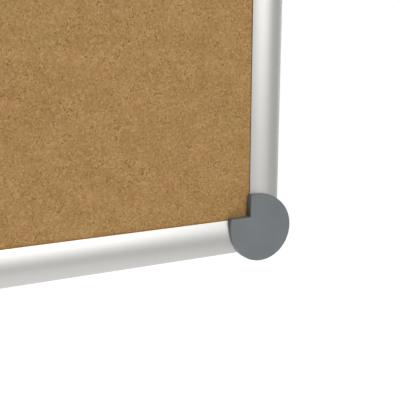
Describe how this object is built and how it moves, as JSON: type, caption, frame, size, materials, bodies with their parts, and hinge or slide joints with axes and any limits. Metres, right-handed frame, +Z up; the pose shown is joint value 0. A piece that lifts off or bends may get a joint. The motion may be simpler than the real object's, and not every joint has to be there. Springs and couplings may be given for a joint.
{
  "type": "cork notice board",
  "caption": "Rectangular wall notice board: cork-faced panel in domed aluminium rails, with round notched plastic caps that pull off over the screw holes at the corners.",
  "frame": {"origin": "centre of the board on the wall plane, which the backs of the rails and corner brackets touch", "axes": "+X to the board's right as seen from the front, +Y into the wall, +Z up; the cork faces -Y"},
  "size_m": [0.9078, 0.0175, 0.6078],
  "materials": {
    "cork": "fine natural cork granules, matt",
    "softboard": "pressed fibreboard, matt",
    "backing": "smooth grey-white board, matt",
    "rail": "satin anodised",
    "screw": "bright zinc plated",
    "bracket": "moulded, matt",
    "cap": "moulded, very fine texture, matt"
  },
  "bodies": {
    "board": {"cork_sheet": "cork", "core_board": "softboard", "backing_sheet": "backing", "rail_top": "rail", "rail_right": "rail", "rail_bottom": "rail", "rail_left": "rail", "rail_screw_top_1": "screw", "rail_screw_top_2": "screw", "rail_screw_right_1": "screw", "rail_screw_right_2": "screw", "rail_screw_bottom_1": "screw", "rail_screw_bottom_2": "screw", "rail_screw_left_1": "screw", "rail_screw_left_2": "screw", "corner_bracket_top_right": "bracket", "corner_bracket_bottom_right": "bracket", "corner_bracket_bottom_left": "bracket", "corner_bracket_top_left": "bracket"},
    "cap_top_right": {"corner_cap_top_right": "cap"},
    "cap_bottom_right": {"corner_cap_bottom_right": "cap"},
    "cap_bottom_left": {"corner_cap_bottom_left": "cap"},
    "cap_top_left": {"corner_cap_top_left": "cap"}
  },
  "joints": [
    {"name": "pull_cap_top_right", "type": "slide", "parent": "board", "child": "cap_top_right", "axis": [0, -1, 0], "range_m": [0, 0.012]},
    {"name": "pull_cap_bottom_right", "type": "slide", "parent": "board", "child": "cap_bottom_right", "axis": [0, -1, 0], "range_m": [0, 0.012]},
    {"name": "pull_cap_bottom_left", "type": "slide", "parent": "board", "child": "cap_bottom_left", "axis": [0, -1, 0], "range_m": [0, 0.012]},
    {"name": "pull_cap_top_left", "type": "slide", "parent": "board", "child": "cap_top_left", "axis": [0, -1, 0], "range_m": [0, 0.012]}
  ]
}
